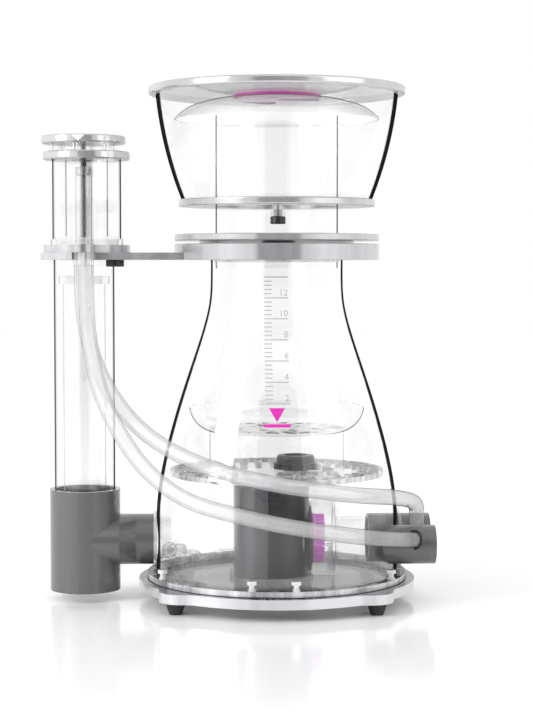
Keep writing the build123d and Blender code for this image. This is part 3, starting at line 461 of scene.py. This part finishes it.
# ------------------------------------------------------------------ operators
class SKIMMER_OT_clear_parts(bpy.types.Operator):
    """Finish the clear tubes, shells and small clear mouldings"""

    bl_idname = "skimmer.clear_parts"
    bl_label = "Clear Parts"

    def execute(self, context):
        tower = (TOWER.x, TOWER.y)
        silencer = (SILENCER.x, SILENCER.y)
        finish_nodes(("cup_bowl",), clear_acrylic("cup wall", 0.72, 0.010, width=0.03))
        finish_nodes(("body_shell",), clear_acrylic("body wall", 0.745, 0.016, width=0.03))
        finish_nodes(("riser_tube",), clear_acrylic("riser wall", 0.68, 0.06, tower, fill=0.35))
        finish_nodes(("silencer_tube",), clear_acrylic("silencer wall", 0.70, 0.05, silencer, 0.10, fill=0.3))
        finish_nodes(("silencer_inner_tube",),
                     clear_acrylic("inner wall", 0.66, 0.16, silencer, 0.10, strength=0.8, fill=0.25))
        finish_nodes(("standpipe",),
                     clear_acrylic("standpipe wall", 0.72, 0.3, tower, 0.07, strength=0.5, fill=0.15))
        finish_nodes(("lift_tube",),
                     clear_acrylic("lift tube wall", 0.60, 0.08, tower, 0.2, strength=0.8, fill=0.2))
        finish_nodes(("cup_neck",), clear_acrylic("cup neck wall", 0.77, 0.05, width=0.02, strength=0.85))
        finish_nodes(("baffle_tube",), clear_acrylic("baffle wall", 0.80, 0.2, strength=0.6))
        finish_nodes(("bubble_dish",), clear_acrylic("dish wall", 0.84, 0.10, gloss=0.08, fill=0.12))
        finish_nodes(("deflector_dome",),
                     clear_acrylic("dome wall", 0.88, 0.16, gloss=0.14, fill=0.28, inner=0.3))
        finish_nodes(("volute", "intake_tube", "outlet_tube"),
                     plain_acrylic("pump casing", 0.05, 0.02, 0.8, painted_outline_start=0.86, tone=0.25))
        small = plain_acrylic("clear moulding", 0.16, 0.10, 0.85, painted_outline_start=0.65, tone=0.12)
        finish_nodes(("silencer_posts", "silencer_foot", "air_ports", "drain_nozzle", "pump_pedestal",
                      "discharge_duct", "standpipe_collar", "knob_hub"), small)
        finish_nodes(("thumb_screws",),
                     plain_acrylic("bright moulding", 0.30, 0.45, 1.0, painted_outline_start=0.55, tone=0.12))
        finish_nodes(("motor_lead", "cable_gland"), plain_acrylic("lead sleeve", 0.12, 0.18, 0.7, painted_outline_start=0.5))
        finish_nodes(("wall_bushings", "neck_oring"), plain_acrylic("clear silicone", 0.08, 0.2, 0.7))
        return {"FINISHED"}


class SKIMMER_OT_plates(bpy.types.Operator):
    """Finish the thick acrylic plates, flanges and the lid"""

    bl_idname = "skimmer.plates"
    bl_label = "Plates"

    def execute(self, context):
        plate = plate_acrylic("acrylic plate", 0.36, 0.30, 0.22, 0.44)
        finish_nodes(("neck_flange", "riser_bracket", "cup_flange", "cup_plate", "silencer_base",
                      "silencer_top", "knob_disc", "spindle_nut"), plate)
        finish_nodes(("lock_ring",), plate_acrylic("lock ring sheet", 0.3, 0.1, 0.02, 0.09))
        finish_nodes(("lid",), plate_acrylic("lid sheet", 0.42, 0.42, 0.22, 0.44, 16.0, 0.12))
        finish_nodes(("base_plate",),
                     plate_acrylic("base sheet", 0.50, 0.24, 0.42, 0.66, 8.0, 0.25, BODY.rim))
        finish_nodes(("body_flange",), plate_acrylic("flange sheet", 0.5, 0.2, 0.10, 0.85, 60.0, 0.95))
        finish_nodes(("bubble_plate",), plate_acrylic("perforated sheet", 0.07, 0.3, 0.04, 0.9, 120.0))
        return {"FINISHED"}


class SKIMMER_OT_fittings(bpy.types.Operator):
    """Finish the grey fittings, the pump's mouldings, the rubber and the metal"""

    bl_idname = "skimmer.fittings"
    bl_label = "Fittings and Pump"

    def execute(self, context):
        p = props()
        pvc = moulding("grey pvc", tuple(p.pvc_grey), 0.27, grain=0.004, coat=0.5)
        motor = moulding("motor moulding", tuple(p.motor_grey), 0.42)
        black = moulding("black moulding", rgb(0.012, 0.012, 0.013), 0.35)
        rubber = moulding("rubber", rgb(0.015, 0.015, 0.016), 0.6)
        accent = moulding("accent plastic", tuple(p.magenta), 0.3, coat=0.3)
        steel = metal("stainless steel", rgb(0.45, 0.45, 0.46), 0.28)
        ceramic = moulding("ceramic", rgb(0.75, 0.73, 0.68), 0.3)
        finish_nodes(("tee", "intake_pipe", "air_manifold"), pvc)
        # lit and shaded copies of the motor grey: painted light and painted shade for the housing's two
        # halves
        painted_lit_grey, dark = shaded(p.motor_grey, 2.4), shaded(p.motor_grey, 0.55)
        housing = two_tone("motor housing", painted_lit_grey, dark, 0.3, MOTOR.seam)
        finish_nodes(("motor_housing",), housing)
        finish_nodes(("rotor_well", "motor_face_plate"), motor)
        finish_nodes(("union_nut", "clamp_screw", "drain_cap"), black)
        finish_nodes(("rubber_feet",), rubber)
        finish_nodes(("needle_wheel", "lid_spacer"), accent)
        finish_nodes(("stator_core", "rotor_magnet", "knob_spindle"), steel)
        finish_nodes(("rotor_shaft", "rotor_bearings"), ceramic)
        return {"FINISHED"}


class SKIMMER_OT_hoses(bpy.types.Operator):
    """Lay the two air hoses from the silencer to the pump's air inlet"""

    bl_idname = "skimmer.hoses"
    bl_label = "Air Hoses"

    def execute(self, context):
        milk = silicone("hose wall", 0.34, tone=0.72, painted_outline_start=0.76)
        for side, route in (("upper", UPPER_ROUTE), ("lower", LOWER_ROUTE)):
            curve = bpy.data.curves.new(side + "_hose", "CURVE")
            curve.dimensions = "3D"
            curve.bevel_depth = props().hose_diameter / 2
            curve.bevel_resolution = 8
            curve.resolution_u = 12
            curve.use_fill_caps = True
            spline = curve.splines.new("NURBS")
            spline.points.add(len(route) - 1)
            for point, place in zip(spline.points, route):
                point.co = (*place, 1.0)
            spline.order_u = 3
            spline.use_endpoint_u = True
            curve.materials.append(milk)
            hose = bpy.data.objects.new(side + "_hose", curve)
            context.scene.collection.objects.link(hose)
            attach(hose, "root")
            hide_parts("air_hose_" + side)
        return {"FINISHED"}


def wall_finder(node):
    """Gives the front point of a node's wall at a place across and a height."""
    mesh = NODES[node].data
    tree = BVHTree.FromPolygons([v.co for v in mesh.vertices], [p.vertices for p in mesh.polygons])

    def find(x, z):
        hit = tree.ray_cast(Vector((x, -1.0, z)), Vector((0, 1, 0)))[0]
        if hit is None:
            raise RuntimeError("no wall of " + node + " at this place")
        return hit

    return find


def lay_on_wall(data, find):
    """Moves each vertex of a flat mark, drawn across and up, onto the wall in front of it."""
    for vert in data.verts:
        hit = find(vert.co.x, vert.co.z)
        vert.co = (hit.x, hit.y - INK / 2, hit.z)


def add_bar(data, x0, x1, z, height, steps=10):
    """A flat bar in the upright plane that faces the front."""
    made = bmesh.ops.create_grid(data, x_segments=steps, y_segments=1, size=0.5)
    bmesh.ops.scale(data, verts=made["verts"], vec=(x1 - x0, height, 1))
    bmesh.ops.rotate(data, verts=made["verts"], matrix=Matrix.Rotation(math.radians(90), 3, "X"))
    bmesh.ops.translate(data, verts=made["verts"], vec=((x0 + x1) / 2, 0, z))


def add_number(data, text, height, x, z):
    """A number as flat faces in the upright plane, with its lower right corner at x and z."""
    letters = bpy.data.curves.new("digits", "FONT")
    letters.body = text
    letters.size = height * 1.4
    letters.align_x = "RIGHT"
    holder = bpy.data.objects.new("digits", letters)
    bpy.context.scene.collection.objects.link(holder)
    mesh = bpy.data.meshes.new_from_object(holder.evaluated_get(bpy.context.evaluated_depsgraph_get()))
    known = set(data.verts)
    data.from_mesh(mesh)
    fresh = [vert for vert in data.verts if vert not in known]
    bmesh.ops.rotate(data, verts=fresh, matrix=Matrix.Rotation(math.radians(90), 3, "X"))
    bmesh.ops.translate(data, verts=fresh, vec=(x, 0, z))
    bpy.data.objects.remove(holder)
    bpy.data.curves.remove(letters)
    bpy.data.meshes.remove(mesh)


def add_pointer(data, radius, cuts):
    """A flat triangle in the upright plane, with its point down."""
    bmesh.ops.create_circle(data, segments=3, radius=radius, cap_ends=True)
    bmesh.ops.subdivide_edges(data, edges=data.edges, cuts=cuts, use_grid_fill=True)
    bmesh.ops.triangulate(data, faces=data.faces)
    bmesh.ops.rotate(data, verts=data.verts, matrix=Matrix.Rotation(math.radians(180), 3, "Z"))
    bmesh.ops.rotate(data, verts=data.verts, matrix=Matrix.Rotation(math.radians(90), 3, "X"))


def thicken(data, depth=INK):
    """Gives a printed mark its thin solid body."""
    bmesh.ops.recalc_face_normals(data, faces=data.faces)
    bmesh.ops.solidify(data, geom=list(data.faces), thickness=depth)
    bmesh.ops.recalc_face_normals(data, faces=data.faces)


class SKIMMER_OT_level_scale(bpy.types.Operator):
    """Print the level scale and the working-level mark on the front of the body"""

    bl_idname = "skimmer.level_scale"
    bl_label = "Level Scale"

    low, high, step = 0.190, 0.310, 0.004
    left, right = -0.0155, 0.0075
    short_tick, stroke = 0.0075, 0.0011
    digit_height, digit_rise = 0.0062, 0.0022
    ticks_per_number = 5
    pointer, pointer_rise = 0.0088, 0.012
    level, bar_left, bar_right, bar_height = 0.1695, -0.0175, 0.0085, 0.0030

    def execute(self, context):
        find = wall_finder("body_shell")
        self.add_scale(find)
        self.add_mark(find)
        return {"FINISHED"}

    def add_scale(self, find):
        ink = moulding("grey ink", rgb(0.33, 0.33, 0.34), 0.5)
        data = bmesh.new()
        count = round((self.high - self.low) / self.step)
        for index in range(count + 1):
            z = self.low + index * self.step
            numbered = index % self.ticks_per_number == 0
            add_bar(data, self.left, self.right if numbered else self.left + self.short_tick, z, self.stroke)
            if numbered and index < count:
                number = 2 * index // self.ticks_per_number + 2
                add_number(data, str(number), self.digit_height, self.right, z + self.digit_rise)
        lay_on_wall(data, find)
        thicken(data)
        to_object(data, "level_scale", ink, "root")

    def add_mark(self, find):
        data = bmesh.new()
        add_pointer(data, self.pointer, cuts=7)
        middle_x = (self.bar_left + self.bar_right) / 2
        bmesh.ops.translate(data, verts=data.verts, vec=(middle_x, 0, self.level + self.pointer_rise))
        add_bar(data, self.bar_left, self.bar_right, self.level, self.bar_height)
        lay_on_wall(data, find)
        thicken(data)
        accent = moulding("accent ink", tuple(props().magenta), 0.4)
        to_object(data, "level_mark", accent, "root")


class SKIMMER_OT_knob_pointer(bpy.types.Operator):
    """Print the white pointer on the rim of the level knob"""

    bl_idname = "skimmer.knob_pointer"
    bl_label = "Knob Pointer"

    size, widen, flatten = 0.0052, 1.35, 0.72
    front = -94.2
    rise = 0.0006
    proud = 0.00005

    def execute(self, context):
        low, high = (Vector(corner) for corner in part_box("knob_disc"))
        centre, radius = (low + high) / 2, (high.x - low.x) / 2
        data = bmesh.new()
        add_pointer(data, self.size, cuts=5)
        bmesh.ops.scale(data, verts=data.verts, vec=(self.widen, 1.0, self.flatten))
        reach = radius + self.proud
        for vert in data.verts:
            angle = math.radians(self.front) + vert.co.x / radius
            vert.co = (centre.x + reach * math.cos(angle), centre.y + reach * math.sin(angle),
                       centre.z + vert.co.z + self.rise)
        thicken(data)
        ink = moulding("white ink", rgb(0.9, 0.9, 0.9), 0.4)
        to_object(data, "knob_pointer", ink, "knob")
        return {"FINISHED"}


class SKIMMER_OT_needle_wheel(bpy.types.Operator):
    """Make the needle wheel: its disc, hub and rings of pins"""

    bl_idname = "skimmer.needle_wheel"
    bl_label = "Needle Wheel"

    disc, hub, bore, pin, edge = 0.0030, 0.0060, 0.0025, 0.0009, 0.0006
    pin_taper = 0.85
    pin_rings = ((0.42, 12), (0.58, 18), (0.75, 26), (0.93, 36))

    def execute(self, context):
        low, high = (Vector(corner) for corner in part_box("needle_wheel"))
        radius, length = (high.z - low.z) / 2, high.x - low.x
        disc, hub, bore, edge = self.disc, self.hub, self.bore, self.edge
        data = bmesh.new()
        lathe(data, [(bore, 0), (radius - edge, 0), (radius, edge), (radius, disc - edge),
                     (radius - edge, disc), (hub, disc), (hub, length), (bore, length)], steps=96)
        for share, count in self.pin_rings:
            for index in range(count):
                self.add_pin(data, share * radius, 2 * math.pi * (index + (count % 4) / 8) / count, length)
        bmesh.ops.rotate(data, verts=data.verts, matrix=Matrix.Rotation(math.radians(90), 3, "Y"))
        bmesh.ops.translate(data, verts=data.verts, vec=(low.x, 0, (low.z + high.z) / 2))
        accent = moulding("needle wheel plastic", tuple(props().wheel), 0.3, coat=0.3)
        wheel = to_object(data, "pin_wheel", accent, "rotor")
        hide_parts("needle_wheel")
        return {"FINISHED"}

    def add_pin(self, data, reach, angle, length):
        made = bmesh.ops.create_cone(data, cap_ends=True, segments=10, radius1=self.pin,
                                     radius2=self.pin * self.pin_taper, depth=length - self.disc)
        place = (reach * math.cos(angle), reach * math.sin(angle), (length + self.disc) / 2)
        bmesh.ops.translate(data, verts=made["verts"], vec=place)


class SKIMMER_OT_seals(bpy.types.Operator):
    """Add the base gasket and the hose grommet"""

    bl_idname = "skimmer.seals"
    bl_label = "Seals"

    gasket_in, gasket_out, gasket_under, gasket_over = 0.001, 0.0004, 0.0002, 0.0006
    grommet_rim, grommet_gap, grommet_back = 0.0012, 0.0001, 0.004

    def execute(self, context):
        rubber = moulding("seal rubber", rgb(0.012, 0.012, 0.013), 0.5)
        low, high = (Vector(corner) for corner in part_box("body_flange"))
        radius = (high.x - low.x) / 2
        data = bmesh.new()
        inner, outer = radius - self.gasket_in, radius + self.gasket_out
        under, over = low.z - self.gasket_under, low.z + self.gasket_over
        lathe(data, [(inner, under), (outer, under), (outer, over), (inner, over)], steps=192)
        to_object(data, "base_gasket", rubber, "root")
        end, before = Vector(LOWER_ROUTE[-1]), Vector(LOWER_ROUTE[-2])
        along = (end - before).normalized()
        bore, rim = props().hose_diameter / 2 + self.grommet_gap, self.grommet_rim
        data = bmesh.new()
        turns = [2 * math.pi * index / 12 for index in range(12)]
        lathe(data, [(bore + rim * (1 - math.cos(a)), rim * math.sin(a)) for a in turns], steps=48)
        turn = along.to_track_quat("Z", "Y").to_matrix()
        bmesh.ops.rotate(data, verts=data.verts, matrix=turn)
        bmesh.ops.translate(data, verts=data.verts, vec=end - along * self.grommet_back)
        to_object(data, "hose_grommet", rubber, "root")
        return {"FINISHED"}


class SKIMMER_OT_spindle(bpy.types.Operator):
    """Make the threaded rod that raises the standpipe"""

    bl_idname = "skimmer.spindle"
    bl_label = "Threaded Spindle"

    def execute(self, context):
        low, high = (Vector(corner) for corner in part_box("knob_spindle"))
        centre, radius = (low + high) / 2, (high.x - low.x) / 2
        pitch, depth = 0.0015, 0.0005
        count = int((high.z - low.z) / pitch)
        profile = [(0.0, low.z)]
        for index in range(count):
            z = low.z + index * pitch
            profile += [(radius - depth, z + pitch * 0.1), (radius, z + pitch * 0.4),
                        (radius, z + pitch * 0.6)]
        profile += [(radius - depth, low.z + count * pitch), (0.0, high.z)]
        data = bmesh.new()
        lathe(data, profile, (centre.x, centre.y), steps=32)
        steel = metal("spindle steel", rgb(0.30, 0.30, 0.31), 0.3)
        rod = to_object(data, "threaded_spindle", steel, "knob")
        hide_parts("knob_spindle")
        return {"FINISHED"}


class SKIMMER_OT_stage(bpy.types.Operator):
    """Set up the floor, the soft light and the camera"""

    bl_idname = "skimmer.stage"
    bl_label = "Stage"

    def execute(self, context):
        stage = context.scene.skimmer_stage
        self.add_floor(context, stage)
        self.add_light(context, stage)
        self.add_camera(context, stage)
        return {"FINISHED"}

    def add_floor(self, context, stage):
        finish = Finish("floor")
        surface = finish.solid(Base_Color=rgb(0.93, 0.93, 0.94), Roughness=0.12, IOR=1.45)
        material = finish.finished(surface)
        data = bmesh.new()
        bmesh.ops.create_grid(data, x_segments=1, y_segments=1, size=stage.floor_size / 2)
        bmesh.ops.translate(data, verts=data.verts, vec=(0, 0, CAD_BOUNDS[0][2] - 0.0002))
        self.place_sheet(context, data, "floor", material)

    def place_sheet(self, context, data, name, material):
        mesh = bpy.data.meshes.new(name)
        data.to_mesh(mesh)
        data.free()
        mesh.materials.append(material)
        sheet = bpy.data.objects.new(name, mesh)
        context.scene.collection.objects.link(sheet)
        return sheet

    def add_light(self, context, stage):
        world = bpy.data.worlds.new("studio")
        world.use_nodes = True
        background = world.node_tree.nodes["Background"]
        background.inputs["Color"].default_value = rgb(1, 1, 1)
        background.inputs["Strength"].default_value = stage.sky
        context.scene.world = world
        for name, place, size, power in (
                ("key", (-2.2, -1.2, 1.2), 1.2, 48.0),
                ("fill", (1.9, -1.2, 1.3), 1.8, 14.0)):
            lamp = bpy.data.lights.new(name, "AREA")
            lamp.size = size
            lamp.energy = power
            made = bpy.data.objects.new(name, lamp)
            made.location = place
            aim = Vector((0, 0, 0.2)) - Vector(place)
            made.rotation_euler = aim.to_track_quat("-Z", "Y").to_euler()
            context.scene.collection.objects.link(made)
        self.add_card(context)
        context.scene.view_settings.view_transform = "Standard"
        context.scene.cycles.transparent_max_bounces = 64

    def add_card(self, context):
        """A dark card behind the viewer, seen only as soft bands in the clear walls."""
        finish = Finish("card")
        material = finish.finished(finish.solid(Base_Color=rgb(0.02, 0.02, 0.025), Roughness=1.0))
        data = bmesh.new()
        bmesh.ops.create_grid(data, x_segments=1, y_segments=1, size=1.0)
        bmesh.ops.scale(data, verts=data.verts, vec=(1.5, 1.3, 1.0))
        bmesh.ops.rotate(data, verts=data.verts, matrix=Matrix.Rotation(math.radians(90), 3, "X"))
        bmesh.ops.translate(data, verts=data.verts, vec=(0.0, -3.4, 1.1))
        card = self.place_sheet(context, data, "card", material)
        card.visible_camera = False
        card.visible_diffuse = False
        card.visible_shadow = False

    def add_camera(self, context, stage):
        turn = math.radians(2.5)
        aside, back, height = -0.0102, -1.820, 0.3205
        place = (aside * math.cos(turn) + back * math.sin(turn),
                 -aside * math.sin(turn) + back * math.cos(turn), height)
        data = bpy.data.cameras.new("camera")
        data.lens = stage.lens
        data.sensor_width = 36.0
        camera = bpy.data.objects.new("camera", data)
        camera.location = place
        camera.rotation_euler = (math.radians(90 - 3.03), 0, -turn)
        context.scene.collection.objects.link(camera)
        context.scene.camera = camera


class SKIMMER_PT_panel(bpy.types.Panel):
    """Lists the skimmer's operators and settings"""

    bl_idname = "SKIMMER_PT_panel"
    bl_label = "Protein Skimmer"
    bl_space_type = "VIEW_3D"
    bl_region_type = "UI"
    bl_category = "Skimmer"

    def draw(self, context):
        for step in STEPS:
            self.layout.operator(step.bl_idname)
        for key in SkimmerSettings.__annotations__:
            self.layout.prop(context.scene.skimmer, key)
        for key in StageSettings.__annotations__:
            self.layout.prop(context.scene.skimmer_stage, key)


STEPS = (
    SKIMMER_OT_stage,
    SKIMMER_OT_hoses,
    SKIMMER_OT_level_scale,
    SKIMMER_OT_knob_pointer,
    SKIMMER_OT_needle_wheel,
    SKIMMER_OT_seals,
    SKIMMER_OT_spindle,
    SKIMMER_OT_clear_parts,
    SKIMMER_OT_plates,
    SKIMMER_OT_fittings,
)
CLASSES = (SkimmerSettings, StageSettings, *STEPS, SKIMMER_PT_panel)


def register():
    for item in CLASSES:
        bpy.utils.register_class(item)
    bpy.types.Scene.skimmer = PointerProperty(type=SkimmerSettings)
    bpy.types.Scene.skimmer_stage = PointerProperty(type=StageSettings)


def unregister():
    del bpy.types.Scene.skimmer_stage
    del bpy.types.Scene.skimmer
    for item in reversed(CLASSES):
        bpy.utils.unregister_class(item)


def main():
    register()
    for step in STEPS:
        group, name = step.bl_idname.split(".")
        getattr(getattr(bpy.ops, group), name)()


if __name__ == "__main__":
    main()
